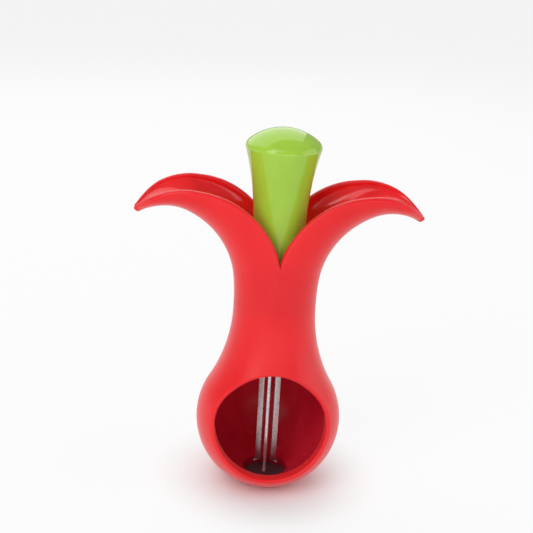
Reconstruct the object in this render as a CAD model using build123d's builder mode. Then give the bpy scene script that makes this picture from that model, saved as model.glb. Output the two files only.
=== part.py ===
"""Hand-held cherry pitter shaped like a flower.

A one-piece red flower holds the fruit: a round bulb with an open front, a neck, and two petals
that curl outwards as finger rests. A green stem slides in the neck and carries three steel
prongs. Pulled up, it clears the bulb for a cherry. Pushed down, it drives the stone out through
the hole in the bulb's floor, which is how it stands here.

Frame: +Z is up along the plunger's axis, the open front faces -Y and the petals spread along X.
The origin is on the axis, level with the rim that the bulb stands on. Sizes are in millimetres.
"""

from build123d import *
from math import asin, cos, degrees, radians, sin, sqrt, tan
import os

os.makedirs("parts", exist_ok=True)

# Bulb and neck: a round bulb, and a hollow shoulder that touches it and the neck
bulb_radius = 23.2
bulb_centre_height = 21.6
shoulder_arc_radius = 53.3
neck_radius = 12.9
neck_straight = 2.1
bulb_wall = 3.3
neck_wall = 2.7

# Openings in the bulb
mouth_radius = 17.5
mouth_top_gap = 0.25
mouth_edge_round = 0.7
outlet_radius = 7.2
foot_edge_bevel = 0.3

# Petals: the line down the middle of a petal's underside is three arcs in a row, each with a
# radius and a turn in degrees
petal_base_radius = 61.0
petal_base_turn = 7.2
petal_curl_radius = 26.7
petal_curl_turn = 57.4
petal_droop_radius = 13.85
petal_droop_turn = 69.0
petal_split = 10.6
petal_root_step = 0.08
petal_half_width = 12.2
petal_end_half_width = 8.1
petal_narrowing = 13.0
petal_tip_round = 7.0
petal_tip_half_width = 4.0
petal_tip_depth = 1.8
petal_flattening_late = 0.83
petal_wall = 2.1
petal_tip_wall = 1.6
petal_seam_overlap = 0.25
petal_edge_rise = 0.7
petal_root_stations = 3
petal_free_stations = 9

# Plunger bore inside the neck, with a ledge for the guide and a groove for the clip
ledge_height = 42.5
ledge_thickness = 1.5
ledge_hole_radius = 7.5
bore_radius = 10.2
sleeve_radius = 12.6
sleeve_lip = 1.1
fit_gap = 0.05
running_gap = 0.2

# Prong guide
guide_thickness = 1.6
slot_gap = 0.15

# Clip that keeps the plunger in
clip_thickness = 1.6
clip_height = 73.4
clip_outer_radius = 11.0
clip_inner_radius = 8.6
clip_opening = 24.0
clip_turn = 90.0

# Prong holder and its friction ring
flange_radius = 9.9
flange_thickness = 3.2
ring_height = 1.6
ring_width = 1.5
shank_radius = 5.4
shank_length = 9.0
shank_groove_radius = 4.4
shank_groove_height = 2.0
shank_groove_offset = 3.0

# Prongs: flat steel strips set edge-on around the axis
prong_count = 3
prong_turn = -97.0
prong_inner = 1.7
prong_outer = 3.9
prong_thickness = 1.1
prong_tip_height = 3.1
prong_tip_slope = 1.6
prong_barb = 0.6
prong_barb_length = 2.6
prong_lug = 0.7
prong_lug_height = 1.4

# Stem: two half shells that close round the prong holder
stem_foot_radius = 7.4
stem_waist_radius = 8.15
stem_waist_height = 88.0
knob_radius = 11.55
knob_height = 110.6
knob_side = 1.2
knob_rim_round = 2.4
knob_rise = 4.7
stem_wall = 1.8
stem_seam_turn = -20.0
peg_radius = 1.3
peg_boss_radius = 2.6
peg_length = 3.0
peg_low_height = 70.0
peg_high_height = 98.0

# Sizes that follow from the ones above
shoulder_centre_radius = neck_radius + shoulder_arc_radius
centre_distance = bulb_radius + shoulder_arc_radius
waist_height = bulb_centre_height + sqrt(centre_distance**2 - shoulder_centre_radius**2)
petal_root_height = waist_height + neck_straight
mouth_height = ledge_height - mouth_top_gap - mouth_radius
ledge_top = ledge_height + ledge_thickness
guide_top = ledge_top + guide_thickness
flange_bottom = guide_top + running_gap
flange_top = flange_bottom + flange_thickness
shank_top = flange_top + shank_length
stem_floor = shank_top + running_gap
clip_top = clip_height + clip_thickness
sleeve_top = clip_top + fit_gap + sleeve_lip
petal_root_half_width = neck_radius + petal_root_step
plunger_travel = clip_height - flange_top - running_gap
prong_tip_radius = prong_outer + prong_barb
petal_arcs = (
    (petal_base_radius, petal_base_turn),
    (petal_curl_radius, petal_curl_turn),
    (petal_droop_radius, petal_droop_turn),
)
petal_length = sum(radius * radians(turn) for radius, turn in petal_arcs)


def bulb_at(height, wall):
    """Point of the bulb's round wall at a height, set in from the outside by a wall."""
    return (sqrt((bulb_radius - wall) ** 2 - (height - bulb_centre_height) ** 2), height)


def shoulder_at(height, wall):
    """Point of the hollow shoulder at a height, set in from the outside by a wall."""
    reach = shoulder_arc_radius + wall
    return (shoulder_centre_radius - sqrt(reach**2 - (waist_height - height) ** 2), height)


def touch_height(wall):
    """Height at which the bulb runs into the shoulder, set in from the outside by a wall."""
    share = (bulb_radius - wall) / centre_distance
    return bulb_centre_height + share * (waist_height - bulb_centre_height)


def midrib(length):
    """Point (x, z) and heading from the vertical, in degrees, along a petal's underside."""
    x, z, heading = petal_root_half_width, petal_root_height, 0.0
    for radius, turn in petal_arcs:
        arc_turn = min(turn, degrees(length / radius))
        x += radius * (cos(radians(heading)) - cos(radians(heading + arc_turn)))
        z += radius * (sin(radians(heading + arc_turn)) - sin(radians(heading)))
        heading += arc_turn
        length -= radius * radians(arc_turn)
        if length <= 0:
            break
    return x, z, heading


def smooth(share):
    """Rises from 0 to 1 with a level start and end."""
    return share * share * (3 - 2 * share)


def petal_section(length):
    """Half-width, depth and wall of the petal's trough at a length along its midrib, and the
    angle that its edges reach up each side.

    Up to the split the two troughs meet over the axis as one tube. Past it the trough grows
    shallower, at once and then more slowly, narrows twice, and its edges run to the rounded tip.
    """
    x, _, heading = midrib(length)
    if length <= petal_split:
        depth = x / cos(radians(heading)) + petal_seam_overlap
        return petal_root_half_width, depth, neck_wall, 90.0
    split_x, _, split_heading = midrib(petal_split)
    split_depth = split_x / cos(radians(split_heading))
    along = (length - petal_split) / (petal_length - petal_split)
    early, late = along**0.6, smooth(along**1.5)
    flattening = early + (late - early) * petal_flattening_late
    depth = split_depth + (petal_tip_depth - split_depth) * flattening
    narrowing = smooth(min(1.0, (length - petal_split) / petal_narrowing))
    half_width = petal_root_half_width + (petal_half_width - petal_root_half_width) * narrowing
    half_width += (petal_end_half_width - petal_half_width) * along**2
    end = max(0.0, 1 - (petal_length - length) / petal_tip_round)
    edge = petal_tip_half_width + (half_width - petal_tip_half_width) * sqrt(1 - end**2)
    wall = neck_wall + (petal_wall - neck_wall) * narrowing
    wall += (petal_tip_wall - petal_wall) * end**2
    return half_width, depth, wall, degrees(asin(edge / half_width))


def trough_half(half_width, rise, centre, reach, side):
    """Half of a trough's round bottom in its section, from the midrib up one side.

    It is the curve that comes closest to an ellipse's arc of that reach in degrees.
    """
    lean = 4 / 3 * tan(radians(reach) / 4)
    up, out = cos(radians(reach)), sin(radians(reach))
    return Bezier(
        (0, centre - rise),
        (side * half_width * lean, centre - rise),
        (side * half_width * (out - lean * up), centre - rise * (up + lean * out)),
        (side * half_width * out, centre - rise * up),
    )


def radial_plane(turn):
    """Upright plane through the axis: x runs outwards at this turn and y runs up."""
    return Plane(
        origin=(0, 0, 0),
        x_dir=(cos(radians(turn)), sin(radians(turn)), 0),
        z_dir=(sin(radians(turn)), -cos(radians(turn)), 0),
    )


prong_turns = [prong_turn + 360 * index / prong_count for index in range(prong_count)]

# Right petal, lofted through crescents square to its midrib and cut where the left one meets it
root_runs = [petal_split * step / petal_root_stations for step in range(petal_root_stations)]
free_turns = [180 * step / (petal_free_stations - 1) for step in range(petal_free_stations)]
free_half = (petal_length - petal_split) / 2
free_runs = [petal_split + free_half * (1 - cos(radians(turn))) for turn in free_turns]

with BuildPart() as right_petal:
    for run in root_runs + free_runs:
        x, z, heading = midrib(run)
        half_width, depth, wall, reach = petal_section(run)
        along_midrib = (sin(radians(heading)), 0, cos(radians(heading)))
        with BuildSketch(Plane(origin=(x, 0, z), x_dir=(0, 1, 0), z_dir=along_midrib)):
            with BuildLine():
                for side in (-1, 1):
                    outer = trough_half(half_width, depth, depth, reach, side)
                    inner = trough_half(half_width - wall, depth - wall, depth, reach, side)
                    across = inner @ 1 - outer @ 1
                    rise = (outer % 1) * (petal_edge_rise * wall / petal_wall)
                    Polyline(
                        outer @ 1,
                        outer @ 1 + rise + across / 4,
                        inner @ 1 + rise - across / 4,
                        inner @ 1,
                    )
            make_face()
    loft()
    split(bisect_by=Plane.YZ, keep=Keep.TOP)

# Flower: bulb, neck and petals in one moulding
outer_touch = touch_height(0.0)
inner_touch = touch_height(bulb_wall)
cavity_floor = bulb_centre_height - (bulb_radius - bulb_wall)

with BuildPart() as flower_body:
    with BuildSketch(Plane.XZ):
        with BuildLine():
            Line((0, 0), bulb_at(0.0, 0.0))
            ThreePointArc(bulb_at(0.0, 0.0), (bulb_radius, bulb_centre_height), bulb_at(outer_touch, 0.0))
            ThreePointArc(
                shoulder_at(outer_touch, 0.0),
                shoulder_at((outer_touch + waist_height) / 2, 0.0),
                (neck_radius, waist_height),
            )
            Polyline(
                (neck_radius, waist_height),
                (neck_radius, petal_root_height),
                (0, petal_root_height),
                (0, 0),
            )
        make_face()
    revolve(axis=Axis.Z)
    with BuildSketch(Plane.XZ):
        with BuildLine():
            Polyline((0, cavity_floor), (0, ledge_height), shoulder_at(ledge_height, bulb_wall))
            ThreePointArc(
                shoulder_at(ledge_height, bulb_wall),
                shoulder_at((ledge_height + inner_touch) / 2, bulb_wall),
                shoulder_at(inner_touch, bulb_wall),
            )
            ThreePointArc(
                bulb_at(inner_touch, bulb_wall),
                (bulb_radius - bulb_wall, bulb_centre_height),
                (0, cavity_floor),
            )
        make_face()
    revolve(axis=Axis.Z, mode=Mode.SUBTRACT)
    with BuildSketch(Plane.XY):
        Circle(outlet_radius)
    extrude(amount=bulb_centre_height, mode=Mode.SUBTRACT)
    foot_rims = flower_body.edges().filter_by(GeomType.CIRCLE).group_by(Axis.Z)[0]
    chamfer(foot_rims.sort_by(SortBy.RADIUS)[-1], foot_edge_bevel)
    with BuildSketch(Plane.XZ):
        with Locations((0, mouth_height)):
            Circle(mouth_radius)
    extrude(amount=bulb_radius, mode=Mode.SUBTRACT)
    mouth_face = flower_body.faces().filter_by(GeomType.CYLINDER).sort_by(Axis.Y)[0]
    fillet(mouth_face.edges(), mouth_edge_round)
    add(right_petal.part)
    add(mirror(right_petal.part, about=Plane.YZ))
    with BuildSketch(Plane.XY.offset(waist_height)):
        Circle(sleeve_radius)
    extrude(amount=sleeve_top - waist_height)
    with BuildSketch(Plane.XY.offset(ledge_height)):
        Circle(ledge_hole_radius)
    extrude(amount=ledge_thickness, mode=Mode.SUBTRACT)
    with BuildSketch(Plane.XY.offset(ledge_top)):
        Circle(bore_radius)
    extrude(amount=sleeve_top - ledge_top, mode=Mode.SUBTRACT)
    with BuildSketch(Plane.XY.offset(clip_height - fit_gap)):
        Circle(clip_outer_radius + fit_gap)
    extrude(amount=clip_thickness + 2 * fit_gap, mode=Mode.SUBTRACT)
flower_body.part.label = "flower_body"

# Guide disc that sits on the ledge and keeps the prongs in line
with BuildPart() as prong_guide:
    with BuildSketch(Plane.XY.offset(ledge_top)):
        Circle(bore_radius - fit_gap)
    extrude(amount=guide_thickness)
    for turn in prong_turns:
        with BuildSketch(radial_plane(turn)):
            with Locations(((prong_inner + prong_tip_radius) / 2, ledge_top + guide_thickness / 2)):
                Rectangle(prong_tip_radius - prong_inner + 2 * slot_gap, guide_thickness)
        extrude(amount=prong_thickness / 2 + slot_gap, both=True, mode=Mode.SUBTRACT)
prong_guide.part.label = "prong_guide"

# Open spring clip in the top of the bore
with BuildPart() as retaining_clip:
    with BuildSketch(Plane.XY.offset(clip_height)):
        with BuildLine():
            start = clip_turn + clip_opening / 2
            outer = CenterArc((0, 0), clip_outer_radius, start, 360 - clip_opening)
            inner = CenterArc((0, 0), clip_inner_radius, start, 360 - clip_opening)
            Line(outer @ 0, inner @ 0)
            Line(outer @ 1, inner @ 1)
        make_face()
    extrude(amount=clip_thickness)
retaining_clip.part.label = "retaining_clip"


def shank_outline(gap):
    """Half outline of the holder's shank above the flange, grown by a gap."""
    radius = shank_radius + gap
    groove_radius = shank_groove_radius + gap
    groove_low = flange_top + shank_groove_offset + gap
    groove_high = flange_top + shank_groove_offset + shank_groove_height - gap
    top = stem_floor if gap else shank_top
    return [
        (0, flange_top),
        (radius, flange_top),
        (radius, groove_low),
        (groove_radius, groove_low),
        (groove_radius, groove_high),
        (radius, groove_high),
        (radius, top),
        (0, top),
    ]


# Holder at the foot of the stem, moulded round the tops of the prongs
ring_middle_height = flange_bottom + flange_thickness / 2
ring_outer_radius = bore_radius - fit_gap
ring_inner_radius = ring_outer_radius - ring_width

with BuildPart() as prong_holder:
    with BuildSketch(Plane.XY.offset(flange_bottom)):
        Circle(flange_radius)
    extrude(amount=flange_thickness)
    with BuildSketch(Plane.XZ):
        Polygon(*shank_outline(0.0), align=None)
    revolve(axis=Axis.Z)
    with BuildSketch(Plane.XY.offset(ring_middle_height)):
        Circle(bore_radius)
        Circle(ring_inner_radius - fit_gap, mode=Mode.SUBTRACT)
    extrude(amount=ring_height / 2 + fit_gap, both=True, mode=Mode.SUBTRACT)
    for turn in prong_turns:
        with BuildSketch(radial_plane(turn)):
            with BuildLine():
                Polyline(
                    (prong_inner - fit_gap, flange_bottom),
                    (prong_outer + fit_gap, flange_bottom),
                    (prong_outer + fit_gap, shank_top - prong_lug_height - fit_gap),
                    (prong_outer + prong_lug + fit_gap, shank_top - prong_lug_height - fit_gap),
                    (prong_outer + prong_lug + fit_gap, shank_top),
                    (prong_inner - fit_gap, shank_top),
                    close=True,
                )
            make_face()
        extrude(amount=prong_thickness / 2 + fit_gap, both=True, mode=Mode.SUBTRACT)
prong_holder.part.label = "prong_holder"

# Rubber ring that drags on the bore, so that the plunger stays where it is left
with BuildPart() as friction_ring:
    with BuildSketch(Plane.XY.offset(ring_middle_height)):
        Circle(ring_outer_radius)
        Circle(ring_inner_radius, mode=Mode.SUBTRACT)
    extrude(amount=ring_height / 2, both=True)
friction_ring.part.label = "friction_ring"


# Both halves of the stem before they are parted: a tapered shank, a flare and a domed knob
rim_top = knob_height + knob_side
dome_radius = (knob_radius**2 + knob_rise**2) / (2 * knob_rise)
dome_top = rim_top + knob_rise
dome_middle = (knob_radius / 2, dome_top - dome_radius + sqrt(dome_radius**2 - knob_radius**2 / 4))
seam_plane = radial_plane(stem_seam_turn)

with BuildPart() as stem_hollow:
    with BuildSketch(Plane.XZ):
        Polygon(
            (0, stem_floor + stem_wall),
            (stem_foot_radius - stem_wall, stem_floor + stem_wall),
            (stem_waist_radius - stem_wall, stem_waist_height),
            (knob_radius - 2 * stem_wall, knob_height - stem_wall),
            (0, knob_height - stem_wall),
            align=None,
        )
    revolve(axis=Axis.Z)
    for height in (peg_low_height, peg_high_height):
        with BuildSketch(seam_plane):
            with Locations((0, height)):
                Circle(peg_boss_radius)
        extrude(amount=knob_radius, both=True, mode=Mode.SUBTRACT)

with BuildPart() as whole_stem:
    with BuildSketch(Plane.XZ) as stem_outline:
        with BuildLine():
            taper = Line((stem_foot_radius, flange_top), (stem_waist_radius, stem_waist_height))
            TangentArc(taper @ 1, (knob_radius, knob_height), tangent=taper % 1)
            Line((knob_radius, knob_height), (knob_radius, rim_top))
            ThreePointArc((knob_radius, rim_top), dome_middle, (0, dome_top))
            Polyline((0, dome_top), (0, flange_top), (stem_foot_radius, flange_top))
        make_face()
        rim_corners = stem_outline.vertices().group_by(Axis.X)[-1]
        fillet(rim_corners.sort_by(Axis.Y)[-1], knob_rim_round)
    revolve(axis=Axis.Z)
    add(stem_hollow.part, mode=Mode.SUBTRACT)
    with BuildSketch(Plane.XZ):
        Polygon(*shank_outline(fit_gap), align=None)
    revolve(axis=Axis.Z, mode=Mode.SUBTRACT)

with BuildPart() as stem_back:
    add(whole_stem.part)
    split(bisect_by=seam_plane, keep=Keep.BOTTOM)
    for height in (peg_low_height, peg_high_height):
        with BuildSketch(seam_plane):
            with Locations((0, height)):
                Circle(peg_radius)
        extrude(amount=peg_length)
stem_back.part.label = "stem_back"

with BuildPart() as stem_front:
    add(whole_stem.part)
    split(bisect_by=seam_plane, keep=Keep.TOP)
    for height in (peg_low_height, peg_high_height):
        with BuildSketch(seam_plane):
            with Locations((0, height)):
                Circle(peg_radius + fit_gap)
        extrude(amount=peg_length + running_gap, mode=Mode.SUBTRACT)
stem_front.part.label = "stem_front"

pieces = (
    flower_body,
    prong_guide,
    retaining_clip,
    prong_holder,
    friction_ring,
    stem_front,
    stem_back,
)
for piece in pieces:
    export_step(piece.part, f"parts/{piece.part.label}.step")

# Prongs, sharpened to a point that leans outwards
prong_top = shank_top
for name, turn in zip(("front", "right", "left"), prong_turns):
    with BuildPart() as prong:
        with BuildSketch(radial_plane(turn)):
            with BuildLine():
                Polyline(
                    (prong_inner, prong_tip_height + prong_tip_slope),
                    (prong_tip_radius, prong_tip_height),
                    (prong_outer, prong_tip_height + prong_barb_length),
                    (prong_outer, prong_top - prong_lug_height),
                    (prong_outer + prong_lug, prong_top - prong_lug_height),
                    (prong_outer + prong_lug, prong_top),
                    (prong_inner, prong_top),
                    close=True,
                )
            make_face()
        extrude(amount=prong_thickness / 2, both=True)
    prong.part.label = f"prong_{name}"
    export_step(prong.part, f"parts/prong_{name}.step")

print(f"plunger travel {plunger_travel:.2f} mm")
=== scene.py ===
"""Looks of the flower-shaped cherry pitter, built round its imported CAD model.

Laid out as an add-on: property groups hold the sizes and colours, one operator makes each
piece or group of like pieces, one makes the stage, and a panel in the sidebar lists them.
Everything is in metres in the CAD model's own frame: +Z up along the plunger, the open front
faces -Y and the petals spread along X.
"""

from math import cos, pi, radians, sin, sqrt

import bmesh
import bpy
import numpy as np
from bpy.props import FloatProperty, FloatVectorProperty, PointerProperty
from mathutils import Matrix, Vector


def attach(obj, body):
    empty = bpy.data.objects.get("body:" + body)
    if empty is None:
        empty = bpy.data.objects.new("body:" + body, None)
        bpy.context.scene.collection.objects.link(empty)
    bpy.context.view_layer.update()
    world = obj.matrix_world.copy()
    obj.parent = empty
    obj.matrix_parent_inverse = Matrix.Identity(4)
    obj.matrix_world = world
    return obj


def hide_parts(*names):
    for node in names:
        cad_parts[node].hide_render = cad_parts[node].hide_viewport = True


bl_info = {
    "name": "Flower cherry pitter",
    "version": (1, 0, 0),
    "blender": (4, 5, 0),
    "location": "View3D > Sidebar > Pitter",
    "description": "Builds the looks of a flower-shaped cherry pitter",
    "category": "Object",
}

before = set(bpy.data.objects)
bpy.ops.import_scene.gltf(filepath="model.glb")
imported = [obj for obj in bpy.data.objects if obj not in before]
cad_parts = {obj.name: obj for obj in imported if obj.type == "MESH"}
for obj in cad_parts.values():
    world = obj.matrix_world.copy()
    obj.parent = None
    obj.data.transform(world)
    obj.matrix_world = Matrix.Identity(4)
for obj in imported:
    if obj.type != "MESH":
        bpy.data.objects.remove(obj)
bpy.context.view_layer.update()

MM = 0.001
MERGE = 1e-6
CREASE = radians(30.0)

# Rows and columns of the flower's grids.
HALF_COLUMNS = 73
FOOT_ROWS = 7
RIM_COLUMNS = 9
PETAL_ROOT_ROWS = 22
PETAL_ROWS = 70
PETAL_TIP_ROWS = 18
TIP_ROWS = 7
MOUTH_ROWS = 73
BELOW_ROWS = 14
ABOVE_ROWS = 40
EDGE_COLUMNS = 7

# Steps along a petal, how many of them its depth is eased over to each side, and how often
# the search for the mouth's edge is repeated.
PETAL_STEPS = 2000
EASE_STEPS = 64
EDGE_REPEATS = 12

# Rows along a prong's slanted end, barb and shank, and columns round each of its corners.
SLANT_ROWS = 14
BARB_ROWS = 6
SHANK_ROWS = 30
CORNER_COLUMNS = 5

# Heights above the foot over which painted shade darkens the prongs, and over which their
# slanted points return to the plain steel colour as a painted glint.
PAINTED_SHADE_HEIGHTS = (0.019, 0.005)
PAINTED_GLINT_HEIGHTS = (0.0046, 0.0038)

# Half the floor's side, and distances from the axis: where the painted shade under the foot, seen
# through the outlet, turns into the pale floor, and where that turns from lit to plain white.
FLOOR_HALF = 14.0
FLOOR_CORNERS = ((-1, -1), (1, -1), (1, 1), (-1, 1))
PAINTED_SHADE_EDGE = (0.0082, 0.0086)
WHITE_START = (0.009, 0.04)


def length(label, description, default):
    """A length property in metres."""
    return FloatProperty(
        name=label, description=description, default=default, min=0.0, unit="LENGTH", precision=5
    )


def turn(label, description, default):
    """An angle property, given in degrees."""
    return FloatProperty(
        name=label, description=description, default=radians(default), unit="ROTATION"
    )


def share(label, description, default, top=1.0):
    """A plain number property."""
    return FloatProperty(name=label, description=description, default=default, min=0.0, max=top)


def colour(label, description, default):
    """A colour property, with linear red, green and blue."""
    return FloatVectorProperty(
        name=label, description=description, default=default, subtype="COLOR", size=3, min=0, max=1
    )


class FlowerSettings(bpy.types.PropertyGroup):
    bulb_radius: length("Bulb radius", "Outside of the round bulb", 0.02318)
    bulb_height: length("Bulb height", "Middle of the bulb above the foot", 0.0216)
    bulb_wall: length("Bulb wall", "Wall of bulb and shoulder", 0.0033)
    shoulder_arc: length("Shoulder arc", "Radius of the hollow shoulder", 0.0533)
    neck_radius: length("Neck radius", "Outside of the neck", 0.0129)
    foot_radius: length("Foot radius", "Rim that the bulb stands on", 0.00847)
    foot_round: length("Foot rounding", "Height of the rounding at the foot", 0.00035)
    outlet_radius: length("Outlet radius", "Hole that the stone leaves by", 0.0072)
    outlet_round: length("Outlet rounding", "Rounding at the outlet's edges", 0.00018)
    mouth_radius: length("Mouth radius", "Round opening in the front", 0.0175)
    mouth_height: length("Mouth height", "Middle of the mouth above the foot", 0.02475)
    mouth_draw: length("Mouth draw-in", "How far its upper corners come in", 0.0011)
    mouth_round: length("Mouth rounding", "Rounding along the mouth's edges", 0.0007)
    mouth_top_round: length("Mouth top rounding", "The same inside, under the ledge", 0.00015)
    ledge_height: length("Ledge height", "Underside of the guide's ledge", 0.0425)
    ledge_wall: length("Ledge thickness", "Thickness of the guide's ledge", 0.0015)
    ledge_hole: length("Ledge hole radius", "Hole in the guide's ledge", 0.0075)
    bore_radius: length("Bore radius", "Bore that the plunger runs in", 0.0102)
    sleeve_foot: length("Sleeve foot", "Where the sleeve starts in the neck", 0.0606)
    sleeve_radius: length("Sleeve radius", "Outside of the sleeve round the clip", 0.0126)
    sleeve_top: length("Sleeve top", "Top of the sleeve", 0.07615)
    groove_radius: length("Groove radius", "Groove for the clip", 0.01105)
    groove_low: length("Groove bottom", "Lower side of the clip's groove", 0.07335)
    groove_high: length("Groove top", "Upper side of the clip's groove", 0.07505)
    petal_root: length("Petal root", "Height at which the petals start", 0.06204)
    base_radius: length("Petal base radius", "First arc of a petal's underside", 0.061)
    base_turn: turn("Petal base turn", "Turn of the first arc", 7.2)
    curl_radius: length("Petal curl radius", "Second arc of a petal's underside", 0.0267)
    curl_turn: turn("Petal curl turn", "Turn of the second arc", 57.4)
    droop_radius: length("Petal droop radius", "Third arc of a petal's underside", 0.01385)
    droop_turn: turn("Petal droop turn", "Turn of the third arc", 64.8)
    petal_split: length("Petal split", "Length at which the petals part", 0.0109)
    seam_overlap: length("Seam overlap", "How far a trough passes the middle", 0.00027)
    petal_half_width: length("Petal half-width", "Half the width of a petal", 0.0122)
    end_half_width: length("End half-width", "Half the width that it runs out to", 0.0052)
    petal_narrowing: length("Petal narrowing", "Length over which it narrows", 0.013)
    root_wall: length("Root wall", "Wall where the petals start", 0.00258)
    petal_wall: length("Petal wall", "Wall of a petal", 0.0021)
    tip_wall: length("Tip wall", "Wall at a petal's tip", 0.0017)
    tip_depth: length("Tip depth", "Depth of the trough at the tip", 0.0028)
    late_share: share("Late flattening", "Share of the flattening that comes late", 0.83)
    tip_taper: length("Tip taper", "Length over which the wall gets thinner", 0.014)
    tip_round: length("Tip rounding", "Length of the rounded end", 0.007)
    tip_width_left: share("Tip width left", "Share of the width left at the very tip", 0.42)
    tip_depth_left: share("Tip depth left", "Share of the depth left at the very tip", 0.66)
    rim_rise: share("Rim rise", "Height of a petal's rounded rim over its wall", 0.33)
    rim_room: share("Rim room", "Room that a rim takes to rise, in rim heights", 1.5, 10.0)
    outer_colour: colour("Outer red", "Satin outside of the bulb and petals", (0.82, 0.008, 0.013))
    outer_roughness: share("Outer roughness", "Roughness of the satin outside", 0.36)
    glow: share("Glow", "How much light spreads inside the red plastic", 0.2)
    inner_colour: colour("Inner red", "Glossy inside of the petals", (0.9, 0.008, 0.013))
    # Painted shade: the bulb's inside is a darker copy of the glossy red, for the shade in its
    # hollow.
    chamber_painted_shade_colour: colour("Chamber red", "Glossy inside of the bulb", (0.6, 0.011, 0.034))
    inner_roughness: share("Inner roughness", "Roughness of the glossy petals", 0.13)
    chamber_roughness: share("Chamber roughness", "Roughness of the bulb's inside", 0.26)


class StemSettings(bpy.types.PropertyGroup):
    colour: colour("Stem green", "Glossy plastic of the stem", (0.36, 0.61, 0.044))
    roughness: share("Roughness", "Roughness of the stem", 0.07)
    holder_colour: colour("Holder", "Plastic of the prong holder", (0.62, 0.6, 0.52))


class SteelSettings(bpy.types.PropertyGroup):
    inner: length("Prong inside", "Inner edge of a prong from the axis", 0.0018)
    outer: length("Prong outside", "Outer edge of a prong from the axis", 0.0038)
    thickness: length("Prong thickness", "Thickness of a prong", 0.00098)
    edge_round: length("Prong edge", "Rounding of a prong's edges", 0.0002)
    bearing: turn("Bearing", "Where the front prong stands round the axis", -97.0)
    point: length("Point", "Height of the points above the foot", 0.00312)
    slope: length("Point slope", "Height of the slanted end", 0.0016)
    barb: length("Barb", "How far a point stands out", 0.0006)
    barb_length: length("Barb length", "Height over which a barb runs out", 0.0026)
    lug: length("Lug", "Step that locks a prong in its holder", 0.0007)
    lug_height: length("Lug height", "Height of that step", 0.0014)
    top: length("Prong top", "Top of the prongs", 0.058)
    colour: colour("Steel", "Stamped steel of the prongs", (0.9, 1.0, 1.0))
    # Painted shade: this colour darkens the prongs towards their points, where they stand low in
    # the bulb.
    point_painted_shade_colour: colour("Juice stain", "Fruit juice dried on the points", (0.3, 0.08, 0.11))
    roughness: share("Roughness", "Roughness of the prongs", 0.5)
    metal: share("Metal", "How metallic the tumbled steel looks", 0.35)
    sheared_colour: colour("Sheared edge", "Bright narrow sides of the prongs", (0.62, 0.62, 0.64))
    clip_colour: colour("Clip steel", "Spring steel of the clip", (0.5, 0.5, 0.52))
    guide_colour: colour("Guide", "Plastic of the prong guide", (0.42, 0.006, 0.014))
    rubber_colour: colour("Rubber", "Friction ring", (0.018, 0.018, 0.02))


class StudioSettings(bpy.types.PropertyGroup):
    target_height: length("Target height", "Height that the camera looks at", 0.07254)
    target_shift: length("Target shift", "How far left of the axis the camera looks", 0.0032)
    distance: length("Distance", "Camera to the axis", 0.342)
    elevation: turn("Elevation", "Camera above the level", 19.5)
    azimuth: turn("Azimuth", "Camera to the left of straight on", 4.5)
    roll: turn("Roll", "Camera turned about its own view", 3.31)
    focal_share: share("Focal length", "Focal length over the picture's width", 2.0694, 10.0)
    floor_colour: colour("Floor", "Pale floor", (0.86, 0.86, 0.87))
    # Painted shade: a dark patch of floor under the foot, seen only through the outlet.
    floor_painted_shade_colour: colour("Under the foot", "Floor seen through the outlet", (0.13, 0.06, 0.07))
    floor_glow: share("Floor glow", "How far the floor shows plain white", 0.84)
    world: share("World", "Strength of the even light from all round", 0.4, 10.0)
    key: share("Key", "Power of the lamp on the left, in watts", 1.6, 100.0)
    fill: share("Fill", "Power of the lamp on the right, in watts", 1.7, 100.0)
    low: share("Low", "Power of the low lamp in front, in watts", 0.55, 100.0)
    top: share("Top", "Power of the lamp overhead, in watts", 2.5, 100.0)
    over: share("Over", "Power of the lamp above the front, in watts", 0.62, 100.0)


def principled(name):
    """A new node material, its nodes, its links and its shader."""
    material = bpy.data.materials.new(name)
    material.use_nodes = True
    nodes = material.node_tree.nodes
    return material, nodes, material.node_tree.links, nodes["Principled BSDF"]


def new_group(name, inputs, outputs):
    """An empty node group with a vector input, float inputs and float outputs by name."""
    group = bpy.data.node_groups.new(name, "ShaderNodeTree")
    group.interface.new_socket("Vector", in_out="INPUT", socket_type="NodeSocketVector")
    for label, default in inputs:
        socket = group.interface.new_socket(label, in_out="INPUT", socket_type="NodeSocketFloat")
        socket.default_value = default
    for label in outputs:
        group.interface.new_socket(label, in_out="OUTPUT", socket_type="NodeSocketFloat")
    start = group.nodes.new("NodeGroupInput")
    end = group.nodes.new("NodeGroupOutput")
    return group, start.outputs, end.inputs


def feed(tree, socket, value):
    """Links a socket to another or sets its value."""
    if isinstance(value, bpy.types.NodeSocket):
        tree.links.new(value, socket)
    else:
        socket.default_value = value


def math(tree, operation, first, second=0.0):
    """A Math node's output."""
    node = tree.nodes.new("ShaderNodeMath")
    node.operation = operation
    feed(tree, node.inputs[0], first)
    feed(tree, node.inputs[1], second)
    return node.outputs[0]


def ramp(tree, value, low, high, first=0.0, last=1.0, smoothed=True):
    """A Map Range node's output, held between its first and last value."""
    node = tree.nodes.new("ShaderNodeMapRange")
    node.interpolation_type = "SMOOTHSTEP" if smoothed else "LINEAR"
    for label, item in (
        ("Value", value),
        ("From Min", low),
        ("From Max", high),
        ("To Min", first),
        ("To Max", last),
    ):
        feed(tree, node.inputs[label], item)
    return node.outputs["Result"]


def noise(tree, vector, scale, detail=2.0, stretch=None):
    """A Noise node's value, with a stretch by axis where one is given."""
    if stretch:
        mapping = tree.nodes.new("ShaderNodeMapping")
        mapping.inputs["Scale"].default_value = stretch
        feed(tree, mapping.inputs["Vector"], vector)
        vector = mapping.outputs["Vector"]
    node = tree.nodes.new("ShaderNodeTexNoise")
    feed(tree, node.inputs["Vector"], vector)
    feed(tree, node.inputs["Scale"], scale)
    node.inputs["Detail"].default_value = detail
    return node.outputs["Fac"]


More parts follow.
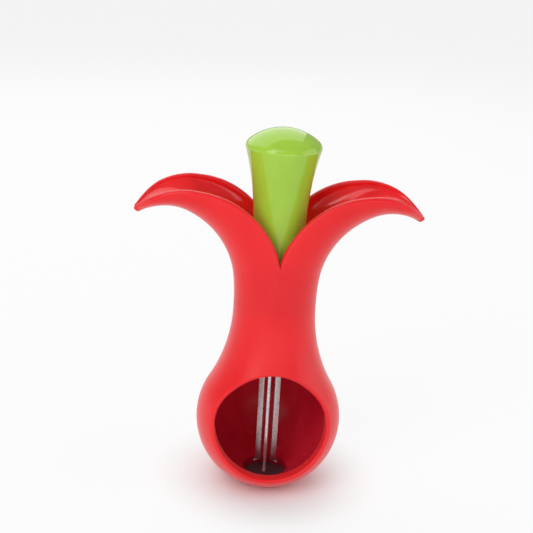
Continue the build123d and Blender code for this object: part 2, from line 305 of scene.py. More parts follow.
def tint(tree, part, first, last):
    """A colour between two colours."""
    node = tree.nodes.new("ShaderNodeMix")
    node.data_type = "RGBA"
    feed(tree, node.inputs["Factor"], part)
    for label, item in (("A", first), ("B", last)):
        socket = next(
            entry for entry in node.inputs if entry.name == label and entry.type == "RGBA"
        )
        feed(tree, socket, item if isinstance(item, bpy.types.NodeSocket) else (*item, 1))
    return next(entry for entry in node.outputs if entry.type == "RGBA")


def use_group(tree, name, vector, **values):
    """A node of a shared group with its values set, and its outputs."""
    node = tree.nodes.new("ShaderNodeGroup")
    node.node_tree = bpy.data.node_groups[name]
    tree.links.new(vector, node.inputs["Vector"])
    for label, value in values.items():
        feed(tree, node.inputs[label.replace("_", " ")], value)
    return node.outputs


def make_groups():
    """The effects that several finishes share."""
    tree, given, result = new_group(
        "moulded skin",
        (("Grain scale", 2600.0), ("Flow scale", 90.0)),
        ("Height", "Flow", "Specks"),
    )
    grain = noise(tree, given["Vector"], given["Grain scale"], 3.0)
    flow = noise(tree, given["Vector"], given["Flow scale"], 2.0, (1.0, 1.0, 0.45))
    specks = noise(tree, given["Vector"], 1150.0, 1.0)
    tree.links.new(grain, result["Height"])
    tree.links.new(ramp(tree, flow, 0.3, 0.7), result["Flow"])
    tree.links.new(ramp(tree, specks, 0.69, 0.77), result["Specks"])

    tree, given, result = new_group("edge wear", (("Breaking", 420.0),), ("Wear",))
    shape = tree.nodes.new("ShaderNodeNewGeometry").outputs["Pointiness"]
    edge = ramp(tree, shape, 0.52, 0.6)
    broken = ramp(tree, noise(tree, given["Vector"], given["Breaking"], 4.0), 0.38, 0.62)
    tree.links.new(math(tree, "MULTIPLY", edge, broken), result["Wear"])

    tree, given, result = new_group(
        "drawn metal",
        (("Grain scale", 2700.0), ("Stain scale", 170.0)),
        ("Height", "Stain", "Lines"),
    )
    grain = noise(tree, given["Vector"], given["Grain scale"], 3.0, (1.0, 1.0, 0.6))
    lines = noise(tree, given["Vector"], given["Grain scale"], 2.0, (1.0, 1.0, 0.03))
    stain_and_painted_shade = noise(tree, given["Vector"], given["Stain scale"], 3.0, (1.0, 1.0, 0.5))
    tree.links.new(ramp(tree, grain, 0.3, 0.7), result["Height"])
    tree.links.new(ramp(tree, stain_and_painted_shade, 0.4, 0.65), result["Stain"])
    tree.links.new(ramp(tree, lines, 0.35, 0.65), result["Lines"])


def bumped(tree, shader, height, depth, strength):
    """Raises a shader's surface by a height."""
    bump = tree.nodes.new("ShaderNodeBump")
    bump.inputs["Strength"].default_value = strength
    bump.inputs["Distance"].default_value = depth
    feed(tree, bump.inputs["Height"], height)
    tree.links.new(bump.outputs["Normal"], shader.inputs["Normal"])


def plastic(
    name, base, roughness, grain=2600.0, relief=0.25, gloss=0.35, streak=0.08, glow=0.0, haze=0.0
):
    """Moulded plastic: fine mould texture, faint flow marks, specks and rubbed edges.

    The streak is how far flow marks change the colour, the glow how much light spreads inside,
    and the haze a soft sheen where the surface is seen at a slant.
    """
    material, nodes, links, shader = principled(name)
    tree = material.node_tree
    place = nodes.new("ShaderNodeTexCoord").outputs["Object"]
    skin = use_group(tree, "moulded skin", place, Grain_scale=grain)
    wear = use_group(tree, "edge wear", place)["Wear"]
    darker = [part * (1 - 2 * streak) for part in base]
    lighter = [min(1.0, part * (1 + streak) + 0.15 * streak) for part in base]
    colour = tint(tree, skin["Flow"], darker, lighter)
    rubbed = [min(1.0, part * 1.04 + 0.045) for part in base]
    colour = tint(tree, math(tree, "MULTIPLY", wear, 0.5), colour, rubbed)
    links.new(colour, shader.inputs["Base Color"])
    rough = ramp(tree, skin["Flow"], 0.0, 1.0, roughness * 0.94, roughness * 1.06)
    rough = math(tree, "ADD", rough, math(tree, "MULTIPLY", wear, 0.08))
    rough = math(tree, "ADD", rough, math(tree, "MULTIPLY", skin["Specks"], 0.12))
    links.new(rough, shader.inputs["Roughness"])
    shader.inputs["IOR"].default_value = 1.5
    shader.inputs["Specular IOR Level"].default_value = gloss
    shader.inputs["Sheen Weight"].default_value = haze
    shader.inputs["Sheen Roughness"].default_value = 0.35
    shader.inputs["Subsurface Weight"].default_value = glow
    shader.inputs["Subsurface Radius"].default_value = (1.0, 0.12, 0.08)
    shader.inputs["Subsurface Scale"].default_value = 2 * MM
    bumped(tree, shader, skin["Height"], 0.02 * MM, relief)
    return material


def steel(name, base, roughness, metal, stain_and_painted_shade=None):
    """Stamped steel: a fine grain, pits, draw lines, dull patches and, if asked, painted shade low
    down with a painted glint at the points.
    """
    material, nodes, links, shader = principled(name)
    tree = material.node_tree
    place = nodes.new("ShaderNodeTexCoord").outputs["Object"]
    skin = use_group(tree, "drawn metal", place)
    wear = use_group(tree, "edge wear", place, Breaking=900.0)["Wear"]
    dull = [part * 0.78 for part in base]
    colour = tint(tree, skin["Stain"], base, dull)
    pits = math(tree, "MULTIPLY", ramp(tree, skin["Height"], 0.4, 0.1), 0.6)
    colour = tint(tree, pits, colour, [part * 0.35 for part in base])
    speckle = math(tree, "MULTIPLY", skin["Height"], 0.6)
    colour = tint(tree, speckle, colour, [min(1.0, part * 1.25) for part in base])
    colour = tint(tree, math(tree, "MULTIPLY", skin["Lines"], 0.25), colour, dull)
    colour = tint(tree, wear, colour, [min(1.0, part * 1.35) for part in base])
    # Painted shade darkens the prongs towards their points, with a ragged edge, and the slanted
    # points go back to the plain steel colour as a painted glint.
    if stain_and_painted_shade:
        height = nodes.new("ShaderNodeSeparateXYZ")
        links.new(place, height.inputs[0])
        ragged = math(tree, "MULTIPLY", skin["Stain"], 0.004)
        low = math(tree, "ADD", height.outputs["Z"], ragged)
        colour = tint(tree, ramp(tree, low, *PAINTED_SHADE_HEIGHTS), colour, stain_and_painted_shade)
        painted_glint = ramp(tree, height.outputs["Z"], *PAINTED_GLINT_HEIGHTS)
        colour = tint(tree, painted_glint, colour, base)
    links.new(colour, shader.inputs["Base Color"])
    shader.inputs["Metallic"].default_value = metal
    rough = ramp(tree, skin["Stain"], 0.0, 1.0, roughness * 0.85, roughness * 1.25)
    rough = math(tree, "SUBTRACT", rough, math(tree, "MULTIPLY", wear, 0.1))
    links.new(rough, shader.inputs["Roughness"])
    bumped(tree, shader, math(tree, "ADD", skin["Height"], skin["Lines"]), 0.03 * MM, 0.25)
    return material


def dress(node, material):
    """Gives a CAD node a material."""
    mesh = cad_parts[node].data
    mesh.materials.clear()
    mesh.materials.append(material)


def smooth(part):
    """Rises from 0 to 1 with a level start and end."""
    part = np.clip(part, 0.0, 1.0)
    return part * part * (3 - 2 * part)


def grid_faces(rows, columns, first=0):
    """Quads of a grid of vertices that are numbered row by row from a first one."""
    corner = first + np.arange(rows - 1)[:, None] * columns + np.arange(columns - 1)
    return np.stack((corner, corner + 1, corner + columns + 1, corner + columns), -1).reshape(-1, 4)


def mesh_piece(name, patches, materials, mirrored=False):
    """A piece from patches, each a grid of points and a material number.

    Where it is mirrored, each grid is repeated with x turned round. Points that coincide are
    merged, so patches that share an edge close into one skin, whose faces are turned outwards.
    """
    points, faces, marks = [], [], []
    count = 0
    for grid, mark in patches:
        sides = (1, -1) if mirrored else (1,)
        for side in sides:
            rows, columns = grid.shape[:2]
            points.append((grid * (side, 1, 1)).reshape(-1, 3))
            quads = grid_faces(rows, columns, count)
            faces.append(quads if side > 0 else quads[:, ::-1])
            marks.append(np.full(len(quads), mark))
            count += rows * columns
    mesh = bpy.data.meshes.new(name)
    mesh.from_pydata(np.concatenate(points), [], np.concatenate(faces))
    for material in materials:
        mesh.materials.append(material)
    mesh.polygons.foreach_set("material_index", np.concatenate(marks).astype(np.int32))
    skin = bmesh.new()
    skin.from_mesh(mesh)
    bmesh.ops.remove_doubles(skin, verts=skin.verts, dist=MERGE)
    bmesh.ops.dissolve_degenerate(skin, edges=skin.edges, dist=MERGE)
    bmesh.ops.recalc_face_normals(skin, faces=skin.faces)
    skin.to_mesh(mesh)
    skin.free()
    mesh.shade_smooth()
    mesh.set_sharp_from_angle(angle=CREASE)
    piece = bpy.data.objects.new(name, mesh)
    bpy.context.scene.collection.objects.link(piece)
    return piece


def outline_radius(height, wall, look):
    """Radius of the bulb, shoulder and neck at heights, set in from the outside by a wall.

    The bulb is a circle's arc, the shoulder a hollow arc that touches it and ends upright at
    the waist, and the neck is straight above that.
    """
    hollow = look.neck_radius + look.shoulder_arc
    distance = look.bulb_radius + look.shoulder_arc
    waist = look.bulb_height + sqrt(distance**2 - hollow**2)
    touch = look.bulb_height + (look.bulb_radius - wall) / distance * (waist - look.bulb_height)
    square = (look.bulb_radius - wall) ** 2 - (height - look.bulb_height) ** 2
    bulb = np.sqrt(np.clip(square, 0, None))
    drop = np.clip(waist - height, 0, None)
    square = (look.shoulder_arc + wall) ** 2 - drop**2
    shoulder = hollow - np.sqrt(np.clip(square, 0, None))
    return np.where(height < touch, bulb, shoulder)


def mouth_outline(around, look):
    """Radius of the mouth at angles round its axis: a circle whose upper corners come in.

    The upper half is drawn in by a square of the sine of twice the angle.
    """
    return look.mouth_radius - look.mouth_draw * np.sin(2 * np.clip(around, 0, None)) ** 2


def mouth_edge(around, wall, rounding, side, look):
    """Where the mouth's rounded edge leaves the skin that lies a wall inside the bulb.

    At an angle round the mouth's axis, the section is the skin's line y(rho), and the edge is
    the circle that touches this line and the mouth's cylinder. Returns rho, y and the slope
    there, found by repeating rho = mouth + rounding (1 + side slope / sqrt(1 + slope^2)).
    """
    mouth = mouth_outline(around, look)

    def skin(rho):
        height = look.mouth_height + rho * np.sin(around)
        across = rho * np.cos(around)
        return -np.sqrt(outline_radius(height, wall, look) ** 2 - across**2)

    def slope_at(rho, step=0.01 * MM):
        return (skin(rho + step) - skin(rho - step)) / (2 * step)

    rho = mouth + rounding
    for _ in range(EDGE_REPEATS):
        slope = slope_at(rho)
        rho = mouth + rounding * (1 + side * slope / np.sqrt(1 + slope**2))
    return rho, skin(rho), slope_at(rho)


def turned_rows(radius, height, start, columns):
    """Rows of a half skin of revolution, from a start angle at the front to the back."""
    part = np.linspace(0.0, 1.0, columns)
    angle = start[:, None] + (pi / 2 - start[:, None]) * part
    flat = np.broadcast_to(height[:, None], angle.shape)
    return np.stack((radius[:, None] * np.cos(angle), radius[:, None] * np.sin(angle), flat), -1)


def petal_arcs(look):
    """Radius and turn of the three arcs along a petal's underside."""
    return (
        (look.base_radius, look.base_turn),
        (look.curl_radius, look.curl_turn),
        (look.droop_radius, look.droop_turn),
    )


def midrib(run, look):
    """x, z and heading along a petal's underside: three arcs in a row that start upright."""
    x = np.full_like(run, look.neck_radius)
    z = np.full_like(run, look.petal_root)
    heading = np.zeros_like(run)
    left = run.copy()
    for radius, whole in petal_arcs(look):
        arc = np.clip(left / radius, 0.0, whole)
        x += radius * (np.cos(heading) - np.cos(heading + arc))
        z += radius * (np.sin(heading + arc) - np.sin(heading))
        heading += arc
        left = left - radius * arc
    return x, z, heading


def rounded_end(run, whole, least, look):
    """Share of a petal's width or depth left along its midrib.

    It is whole up to the rounded end, and falls over that to its least by a parabola.
    """
    end = np.clip(1 - (whole - run) / look.tip_round, 0.0, 1.0)
    return least + (1 - least) * (1 - end**2)


def petal_shape(run, whole, look):
    """Half-width, depth and wall of the petal's trough along its midrib.

    Up to the split the trough reaches the plane between the petals. From there its half-width
    narrows by a smooth step and by a fourth power of the way along. Its depth falls to the tip's,
    the late share of it by a smooth step of that way to the power 1.5, and the rest by its power
    0.6. The wall thins by the same smooth step as the width, and by a square near the tip.
    """
    x, _, heading = midrib(run, look)
    split = np.array([look.petal_split])
    split_x, _, split_heading = midrib(split, look)
    split_depth = split_x / np.cos(split_heading)
    along = np.clip((run - split) / (whole - split), 0.0, 1.0)
    flattening = along**0.6 + (smooth(along**1.5) - along**0.6) * look.late_share
    free = split_depth + (look.tip_depth - split_depth) * flattening
    joined = x / np.cos(np.minimum(heading, split_heading)) + look.seam_overlap * smooth(
        run / look.petal_split
    )
    depth = np.where(run < look.petal_split, joined, free)
    narrowing = smooth((run - look.petal_split) / look.petal_narrowing)
    half_width = look.neck_radius + (look.petal_half_width - look.neck_radius) * narrowing
    half_width = half_width + (look.end_half_width - look.petal_half_width) * along**4
    taper = np.clip(1 - (whole - run) / look.tip_taper, 0.0, 1.0)
    wall = look.root_wall + (look.petal_wall - look.root_wall) * narrowing
    wall = wall - (look.petal_wall - look.tip_wall) * taper**2
    return half_width, depth, wall


def petal_grids(look):
    """Outer and inner grid of the right petal, its two rims and its rounded tip.

    At each run along the midrib the section lies square to it. The outer skin is an arc of an
    ellipse, y = half-width sin a and up = depth (1 - cos a), and the inner one lies a wall
    inside it. Where the section would cross the plane between the petals its angle a stops
    there. A rim is half an ellipse from skin to skin, and rises by a hyperbolic tangent of its
    room, the distance from that plane. The tip is the last section drawn in to its own middle
    line along a quarter circle. The depth is eased by a bell curve, and the place where it
    leaves the plane is found between two of its steps.
    """
    nose = look.tip_depth_left * look.tip_depth / 2
    whole = sum(radius * bend for radius, bend in petal_arcs(look)) - nose
    fine = np.linspace(0.0, whole, PETAL_STEPS + 1)
    half_widths, depths, walls = petal_shape(fine, whole, look)
    bell = np.exp(-0.5 * (3 * np.arange(-EASE_STEPS, EASE_STEPS + 1) / EASE_STEPS) ** 2)
    first = 2 * depths[0] - depths[EASE_STEPS:0:-1]
    last = 2 * depths[-1] - depths[-2 : -EASE_STEPS - 2 : -1]
    depths = np.convolve(np.concatenate((first, depths, last)), bell / bell.sum(), "valid")
    fine_x, _, fine_heading = midrib(fine, look)
    gap = fine_x - np.cos(fine_heading) * depths
    step = np.nonzero(gap < 0)[0][-1]
    leave = np.interp(0.0, gap[step : step + 2], fine[step : step + 2])
    joined = np.linspace(0.0, leave, PETAL_ROOT_ROWS)
    spacing = np.linspace(0.0, 1.0, PETAL_ROWS) ** 1.5
    tip_start = whole - look.tip_round
    free = leave + (tip_start - leave) * spacing
    ending = whole - look.tip_round * (1 - np.sin(np.linspace(0, pi / 2, PETAL_TIP_ROWS)))
    run = np.concatenate((joined[:-1], free[:-1], ending))
    x, z, heading = midrib(run, look)
    half_width = np.interp(run, fine, half_widths)
    half_width *= rounded_end(run, whole, look.tip_width_left, look)
    depth = np.interp(run, fine, depths)
    depth *= rounded_end(run, whole, look.tip_depth_left, look)
    wall = np.minimum(np.interp(run, fine, walls), 0.9 * depth)
    outer_reach = np.full_like(run, pi / 2)
    inner_reach = outer_reach.copy()
    seam = slice(0, PETAL_ROOT_ROWS)
    past = depth[seam] - x[seam] / np.cos(heading[seam])
    outer_reach[seam] = np.arccos(past / depth[seam])
    inner_reach[seam] = np.arccos(past / (depth - wall)[seam])
    part = np.linspace(-1.0, 1.0, HALF_COLUMNS)

    def place(across, up):
        """Points from places across and up in each section."""
        shift = heading[:, None]
        return np.stack(
            (x[:, None] - np.cos(shift) * up, across, z[:, None] + np.sin(shift) * up), -1
        )

    angle = outer_reach[:, None] * part
    outer = place(half_width[:, None] * np.sin(angle), depth[:, None] * (1 - np.cos(angle)))
    angle = inner_reach[:, None] * part
    inner = place(
        (half_width - wall)[:, None] * np.sin(angle),
        depth[:, None] - (depth - wall)[:, None] * np.cos(angle),
    )
    for skin in (outer, inner):
        skin[seam, (0, -1), 0] = 0.0
    rims = []
    around = np.linspace(0, pi, RIM_COLUMNS)[None, :, None]
    room = np.clip(outer[:, 0, 0] / np.maximum(np.cos(heading), 0.1), 0, None)
    full_rise = look.rim_rise * wall
    rise = full_rise * np.tanh(room / (look.rim_room * full_rise))
    for column, side in ((0, -1), (-1, 1)):
        start, stop = outer[:, column], inner[:, column]
        lean = np.stack(
            (
                -np.cos(heading) * np.sin(outer_reach) * depth,
                side * np.cos(outer_reach) * half_width,
                np.sin(heading) * np.sin(outer_reach) * depth,
            ),
            -1,
        )
        lean /= np.linalg.norm(lean, axis=1)[:, None]
        rim = (
            start[:, None]
            + (stop - start)[:, None] * (1 - np.cos(around)) / 2
            + (lean * rise[:, None])[:, None] * np.sin(around)
        )
        rims.append(rim[PETAL_ROOT_ROWS - 1 :])
    front, back = rims
    loop = np.concatenate((outer[-1], back[-1, 1:-1], inner[-1, ::-1], front[-1, ::-1][1:]))
    middle = (outer[-1] + inner[-1]) / 2
    spine = np.concatenate(
        (
            middle,
            np.repeat(middle[-1:], RIM_COLUMNS - 2, 0),
            middle[::-1],
            np.repeat(middle[:1], RIM_COLUMNS - 1, 0),
        )
    )
    draw = np.linspace(0, pi / 2, TIP_ROWS)[:, None, None]
    ahead = np.array((sin(heading[-1]), 0.0, cos(heading[-1])))
    tip = spine + (loop - spine) * np.cos(draw) + ahead * nose * np.sin(draw)
    return outer, inner, front, back, tip


def prong_grid(bearing, look):
    """Loops round a prong from its point to its top, standing at a bearing round the axis.

    At each height the section is a bar between an inner and an outer radius, which run straight
    between the bends of the profile. Its corners are quarter circles, no larger than half the
    bar, so the slanted end closes to an edge, and the top closes to its middle. Each corner
    has CORNER_COLUMNS columns, and the last column is the first again.
    """
    lug_foot = look.top - look.lug_height
    lug_edge = lug_foot + 0.05 * MM
    slant_top = look.point + look.slope
    barb_top = look.point + look.barb_length
    height = np.concatenate(
        (
            np.linspace(look.point, slant_top, SLANT_ROWS),
            np.linspace(slant_top, barb_top, BARB_ROWS)[1:],
            np.linspace(barb_top, lug_foot, SHANK_ROWS)[1:],
            (lug_edge, look.top),
        )
    )
    reach = look.outer + look.barb
    inner = np.interp(height, (look.point, slant_top), (reach, look.inner))
    outer = np.interp(
        height,
        (look.point, barb_top, lug_foot, lug_edge),
        (reach, look.outer, look.outer, look.outer + look.lug),
    )
    middle, half = ((inner + outer) / 2)[:, None], ((outer - inner) / 2)[:, None]
    corner = np.minimum(look.edge_round, half)
    quarters = np.repeat(np.arange(4), CORNER_COLUMNS) * pi / 2
    angle = quarters + np.tile(np.linspace(0, pi / 2, CORNER_COLUMNS), 4)
    angle = np.append(angle, 2 * pi)
    side = np.append(quarters, 0.0) + pi / 4
    out = middle + np.sign(np.cos(side)) * (half - corner) + corner * np.cos(angle)
    across = np.sign(np.sin(side)) * (look.thickness / 2 - corner) + corner * np.sin(angle)
    out = np.concatenate((out, np.broadcast_to(middle[-1:], (1, out.shape[1]))))
    across = np.concatenate((across, np.zeros((1, out.shape[1]))))
    up = np.broadcast_to(np.append(height, look.top)[:, None], out.shape)
    return np.stack(
        (
            out * cos(bearing) - across * sin(bearing),
            out * sin(bearing) + across * cos(bearing),
            up,
        ),
        -1,
    )


def bulb_grids(look):
    """Outer and inner grid of the right half of bulb and neck, and the mouth's edge.

    Rows are level rings. Beside the mouth each ring starts at its edge, at equal angles round
    the mouth, and the edge is two quarter-rounds with the mouth's cylinder between them. The
    inner one gets tighter by a smooth step towards the ledge.
    """
    around = np.linspace(-pi / 2, pi / 2, MOUTH_ROWS)
    outer_rho, outer_y, outer_slope = mouth_edge(around, 0.0, look.mouth_round, 1, look)
    tight = smooth((np.sin(around) - 0.6) / 0.4)
    inner_round = look.mouth_round * (1 - tight) + look.mouth_top_round * tight
    inner_rho, inner_y, inner_slope = mouth_edge(around, look.bulb_wall, inner_round, -1, look)

    def ring_heights(rho):
        return look.mouth_height + rho * np.sin(around)

    def starts(rho, y):
        return np.arctan2(y, rho * np.cos(around))

    foot = look.foot_radius
    level = foot - 0.3 * MM
    bevel = np.linspace(0, 1, FOOT_ROWS)
    lift = look.foot_round
    foot_height = lift * bevel**2
    lifted = float(outline_radius(np.array(lift), 0.0, look))
    foot_radius = level * (1 - bevel) ** 2 + foot * 2 * bevel * (1 - bevel) + lifted * bevel**2
    outer_mouth = ring_heights(outer_rho)
    low_angle = np.linspace(
        np.arccos((look.bulb_height - lift) / look.bulb_radius),
        np.arccos((look.bulb_height - outer_mouth[0]) / look.bulb_radius),
        BELOW_ROWS,
    )
    below = look.bulb_height - look.bulb_radius * np.cos(low_angle)
    above = np.linspace(outer_mouth[-1], look.petal_root, ABOVE_ROWS)
    height = np.concatenate((foot_height, below[1:-1], outer_mouth, above[1:-1]))
    radius = np.concatenate(
        (foot_radius, outline_radius(height[len(foot_height) :], 0.0, look))
    )
    start = np.full_like(height, -pi / 2)
    first = len(foot_height) + BELOW_ROWS - 2
    start[first : first + MOUTH_ROWS] = starts(outer_rho, outer_y)
    outer = turned_rows(radius, height, start, HALF_COLUMNS)

    ease = look.outlet_round
    outlet = look.outlet_radius
    inside = look.bulb_radius - look.bulb_wall
    floor = look.bulb_height - sqrt(inside**2 - (outlet + ease) ** 2)
    lip = np.array(
        (
            (level, 0.0),
            (outlet + ease, 0.0),
            (outlet + ease * 0.3, ease * 0.3),
            (outlet, ease),
            (outlet, (floor - ease) / 2),
            (outlet, floor - ease),
            (outlet + ease * 0.3, floor - ease * 0.2),
        )
    )
    inner_mouth = ring_heights(inner_rho)
    low_angle = np.linspace(
        np.arcsin((outlet + ease) / inside),
        np.arccos((look.bulb_height - inner_mouth[0]) / inside),
        BELOW_ROWS,
    )
    below = look.bulb_height - inside * np.cos(low_angle)
    above = np.array((look.ledge_height,))
    ceiling = float(outline_radius(above[0], look.bulb_wall, look))
    top = np.array(
        (
            ((ceiling + look.ledge_hole) / 2, look.ledge_height),
            (look.ledge_hole, look.ledge_height),
            (look.ledge_hole, look.ledge_height + look.ledge_wall),
            (look.bore_radius, look.ledge_height + look.ledge_wall),
            (look.bore_radius, look.sleeve_foot),
            (look.neck_radius - look.root_wall, look.sleeve_foot + 0.1 * MM),
        )
    )
    middle = np.concatenate((below[:-1], inner_mouth, above))
    height = np.concatenate((lip[:, 1], middle, top[:, 1]))
    radius = np.concatenate(
        (lip[:, 0], outline_radius(middle, look.bulb_wall, look), top[:, 0])
    )
    start = np.full_like(height, -pi / 2)
    first = len(lip) + BELOW_ROWS - 1
    start[first : first + MOUTH_ROWS] = starts(inner_rho, inner_y)
    inner = turned_rows(radius, height, start, HALF_COLUMNS)

    part = np.linspace(0, 1, EDGE_COLUMNS)
    mouth = mouth_outline(around, look)[:, None]
    outer_size = np.hypot(1, outer_slope)
    centre = outer_y + look.mouth_round / outer_size
    first_angle = np.arctan2(-1 / outer_size, outer_slope / outer_size)[:, None]
    angle = first_angle + (-pi - first_angle) * part
    rho_out = mouth + look.mouth_round * (1 + np.cos(angle))
    y_out = centre[:, None] + look.mouth_round * np.sin(angle)
    inner_size = np.hypot(1, inner_slope)
    centre = inner_y - inner_round / inner_size
    last_angle = np.arctan2(1 / inner_size, -inner_slope / inner_size)[:, None]
    angle = pi + (last_angle - pi) * part
    rho_in = mouth + inner_round[:, None] * (1 + np.cos(angle))
    y_in = centre[:, None] + inner_round[:, None] * np.sin(angle)
    rho = np.concatenate((rho_out, rho_in), 1)
    y = np.concatenate((y_out, y_in), 1)
    turned = around[:, None]
    edge = np.stack((rho * np.cos(turned), y, look.mouth_height + rho * np.sin(turned)), -1)
    for skin in (outer, inner, edge):
        skin[np.abs(skin[..., 0]) < MERGE, 0] = 0.0
    return outer, inner, edge


class PITTER_OT_flower(bpy.types.Operator):
    """Makes the flower: bulb, neck and petals"""

    bl_idname = "pitter.flower"
    bl_label = "Flower"

    def execute(self, context):
        look = context.scene.pitter_flower
        outer_bulb, inner_bulb, mouth = bulb_grids(look)
        outer_petal, inner_petal, front_rim, back_rim, tip = petal_grids(look)
        # Round the bore stands a sleeve with the clip's groove, its foot sunk in the neck.
        chamfer = 0.2 * MM
        hair = 0.05 * MM
        sunk = (look.bore_radius + hair, look.sleeve_foot - 3 * hair)
        ring = np.array(
            (
                sunk,
                (look.sleeve_radius, look.sleeve_foot),
                (look.sleeve_radius, look.sleeve_top - chamfer),
                (look.sleeve_radius - chamfer, look.sleeve_top),
                (look.bore_radius + chamfer, look.sleeve_top),
                (look.bore_radius, look.sleeve_top - chamfer),
                (look.bore_radius, look.groove_high),
                (look.groove_radius, look.groove_high),
                (look.groove_radius, look.groove_low),
                (look.bore_radius, look.groove_low),
                (look.bore_radius, look.sleeve_foot + hair),
                sunk,
            )
        )
        front = np.full(len(ring), -pi / 2)
        sleeve = turned_rows(ring[:, 0], ring[:, 1], front, HALF_COLUMNS)
        sleeve[np.abs(sleeve[..., 0]) < MERGE, 0] = 0.0
        satin = plastic(
            "red satin",
            look.outer_colour,
            look.outer_roughness,
            relief=0.9,
            gloss=0.36,
            streak=0.015,
            glow=look.glow,
            haze=0.18,
        )
        smoother = dict(grain=700.0, relief=0.05, streak=0.05, glow=look.glow)
        gloss = plastic(
            "red gloss", look.inner_colour, look.inner_roughness, gloss=0.45, **smoother
        )
        # The bulb's inside is the glossy red with painted shade: a darker colour for the hollow.
        chamber_painted_shade_gloss = plastic(
            "chamber painted shade gloss", look.chamber_painted_shade_colour, look.chamber_roughness, gloss=0.16, **smoother
        )
        outer = np.concatenate((outer_bulb, outer_petal))
        patches = (
            (outer, 0),
            (inner_bulb, 2),
            (np.concatenate((inner_bulb[-1:], inner_petal)), 1),
            (mouth, 0),
            (front_rim, 0),
            (back_rim, 0),
            (tip, 0),
            (sleeve, 1),
        )
        flower = mesh_piece("flower", patches, (satin, gloss, chamber_painted_shade_gloss), mirrored=True)
        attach(flower, "flower")
        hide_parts("flower_body")
        return {"FINISHED"}


class PITTER_OT_stem(bpy.types.Operator):
    """Finishes the two halves of the stem"""

    bl_idname = "pitter.stem"
    bl_label = "Stem"

    def execute(self, context):
        look = context.scene.pitter_stem
        green = plastic(
            "green gloss",
            look.colour,
            look.roughness,
            grain=500.0,
            relief=0.1,
            gloss=0.5,
            streak=0.04,
        )
        for node in ("stem_front", "stem_back"):
            dress(node, green)
        dress("prong_holder", plastic("natural nylon", look.holder_colour, roughness=0.35))
        return {"FINISHED"}


class PITTER_OT_prongs(bpy.types.Operator):
    """Makes the three steel prongs and finishes the fittings in the neck"""

    bl_idname = "pitter.prongs"
    bl_label = "Prongs"

    def execute(self, context):
        look = context.scene.pitter_steel
        tumbled = steel(
            "tumbled steel", look.colour, look.roughness, look.metal, stain_and_painted_shade=look.point_painted_shade_colour
        )
        sheared = steel("sheared steel", look.sheared_colour, roughness=0.25, metal=0.85)
        # Broad and narrow sides take turns, and meet in the middle of each corner.
        middle = CORNER_COLUMNS // 2
        starts = middle + CORNER_COLUMNS * np.arange(4)
        for order, side in enumerate(("front", "right", "left")):
            bearing = look.bearing + order * 2 * pi / 3
            grid = prong_grid(bearing, look)
            around = np.concatenate((grid, grid[:, 1 : middle + 1]), 1)
            patches = [
                (around[:, start : start + CORNER_COLUMNS + 1], corner % 2)
                for corner, start in enumerate(starts)
            ]
            prong = mesh_piece(f"{side}_prong", patches, (tumbled, sheared))
            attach(prong, "plunger")
            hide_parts(f"prong_{side}")
        spring = steel("spring steel", look.clip_colour, roughness=0.3, metal=1.0)
        dress("retaining_clip", spring)
        dress("prong_guide", plastic("guide plastic", look.guide_colour, roughness=0.3))
        rubber = plastic(
            "rubber",
            look.rubber_colour,
            roughness=0.62,
            grain=1800.0,
            relief=0.6,
            gloss=0.3,
            streak=0.1,
        )
        dress("friction_ring", rubber)
        return {"FINISHED"}


def area_lamp(name, place, aim, width, height, power):
    """Adds a rectangular soft white lamp at a place, facing a point."""
    lamp = bpy.data.lights.new(name, "AREA")
    lamp.shape = "RECTANGLE"
    lamp.size, lamp.size_y = width, height
    lamp.energy = power
    holder = bpy.data.objects.new(name, lamp)
    holder.location = place
    holder.rotation_euler = (Vector(aim) - Vector(place)).to_track_quat("-Z", "Y").to_euler()
    bpy.context.scene.collection.objects.link(holder)


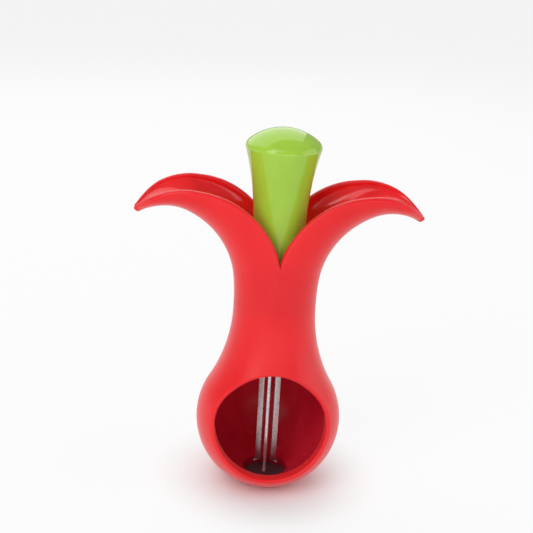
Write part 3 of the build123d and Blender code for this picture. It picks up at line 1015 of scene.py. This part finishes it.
class PITTER_OT_stage(bpy.types.Operator):
    """Makes the floor, the lamps and the camera"""

    bl_idname = "pitter.stage"
    bl_label = "Stage"

    def execute(self, context):
        look = context.scene.pitter_studio
        scene = context.scene
        corners = [(side * FLOOR_HALF, end * FLOOR_HALF, 0) for side, end in FLOOR_CORNERS]
        floor = bpy.data.meshes.new("floor")
        floor.from_pydata(corners, [], [(0, 1, 2, 3)])
        floor_piece = bpy.data.objects.new("floor", floor)
        scene.collection.objects.link(floor_piece)
        material, nodes, links, shader = principled("pale floor")
        tree = material.node_tree
        shader.inputs["Roughness"].default_value = 0.9
        shader.inputs["Specular IOR Level"].default_value = 0.1
        place = nodes.new("ShaderNodeTexCoord").outputs["Object"]
        away = nodes.new("ShaderNodeVectorMath")
        away.operation = "LENGTH"
        links.new(place, away.inputs[0])
        # Painted shade: the floor under the foot is dark, seen only through the outlet.
        past_painted_shade = ramp(tree, away.outputs["Value"], *PAINTED_SHADE_EDGE, smoothed=False)
        links.new(
            tint(tree, past_painted_shade, look.floor_painted_shade_colour, look.floor_colour), shader.inputs["Base Color"]
        )
        clear = ramp(tree, away.outputs["Value"], *WHITE_START)
        path = nodes.new("ShaderNodeLightPath").outputs
        seen = math(tree, "MAXIMUM", path["Is Camera Ray"], path["Is Glossy Ray"])
        seen = math(tree, "MAXIMUM", seen, path["Is Transmission Ray"])
        part = math(tree, "MULTIPLY", math(tree, "MULTIPLY", seen, clear), look.floor_glow)
        glow = nodes.new("ShaderNodeEmission")
        mix = nodes.new("ShaderNodeMixShader")
        links.new(part, mix.inputs[0])
        links.new(shader.outputs[0], mix.inputs[1])
        links.new(glow.outputs[0], mix.inputs[2])
        links.new(mix.outputs[0], nodes["Material Output"].inputs["Surface"])
        floor.materials.append(material)
        world = bpy.data.worlds.new("studio")
        world.use_nodes = True
        world.node_tree.nodes["Background"].inputs["Color"].default_value = (1, 1, 1, 1)
        world.node_tree.nodes["Background"].inputs["Strength"].default_value = look.world
        scene.world = world
        middle = (0, 0, 0.06)
        area_lamp("key", (-0.45, -0.5, 0.36), middle, 0.35, 0.45, look.key)
        area_lamp("fill", (0.66, -0.08, 0.25), middle, 0.7, 0.7, look.fill)
        area_lamp("low", (0.0, -0.6, 0.07), middle, 0.9, 0.14, look.low)
        area_lamp("top", (-0.14, 0.46, 0.5), middle, 0.9, 0.75, look.top)
        area_lamp("over", (-0.2, -0.36, 0.56), middle, 0.34, 0.3, look.over)
        scene.view_settings.view_transform = "Standard"
        camera = bpy.data.cameras.new("camera")
        camera.sensor_width = 36.0
        camera.lens = look.focal_share * camera.sensor_width
        camera.clip_start = 0.01
        holder = bpy.data.objects.new("camera", camera)
        across = Vector((cos(look.azimuth), -sin(look.azimuth), 0))
        aim = Vector((0, 0, look.target_height)) - across * look.target_shift
        away = Vector(
            (
                -sin(look.azimuth) * cos(look.elevation),
                -cos(look.azimuth) * cos(look.elevation),
                sin(look.elevation),
            )
        )
        place = Vector((0, 0, look.target_height)) + away * look.distance
        facing = (aim - place).to_track_quat("-Z", "Y").to_matrix()
        holder.matrix_world = Matrix.Translation(place) @ (
            facing @ Matrix.Rotation(look.roll, 3, "Z")
        ).to_4x4()
        scene.collection.objects.link(holder)
        scene.camera = holder
        return {"FINISHED"}


class PITTER_PT_sidebar(bpy.types.Panel):
    """Lists the pitter's settings and operators"""

    bl_label = "Cherry pitter"
    bl_space_type = "VIEW_3D"
    bl_region_type = "UI"
    bl_category = "Pitter"

    def draw(self, context):
        layout = self.layout
        for operator in OPERATORS:
            layout.operator(operator.bl_idname)
        for name in SETTINGS:
            group = getattr(context.scene, name)
            box = layout.box()
            for key in group.__annotations__:
                box.prop(group, key)


SETTINGS = {
    "pitter_flower": FlowerSettings,
    "pitter_stem": StemSettings,
    "pitter_steel": SteelSettings,
    "pitter_studio": StudioSettings,
}
OPERATORS = (PITTER_OT_flower, PITTER_OT_stem, PITTER_OT_prongs, PITTER_OT_stage)


def register():
    for group in SETTINGS.values():
        bpy.utils.register_class(group)
    for name, group in SETTINGS.items():
        setattr(bpy.types.Scene, name, PointerProperty(type=group))
    for item in (*OPERATORS, PITTER_PT_sidebar):
        bpy.utils.register_class(item)


def unregister():
    for item in (PITTER_PT_sidebar, *reversed(OPERATORS)):
        bpy.utils.unregister_class(item)
    for name, group in SETTINGS.items():
        delattr(bpy.types.Scene, name)
        bpy.utils.unregister_class(group)


def main():
    register()
    make_groups()
    bpy.ops.pitter.flower()
    bpy.ops.pitter.stem()
    bpy.ops.pitter.prongs()
    bpy.ops.pitter.stage()


if __name__ == "__main__":
    main()
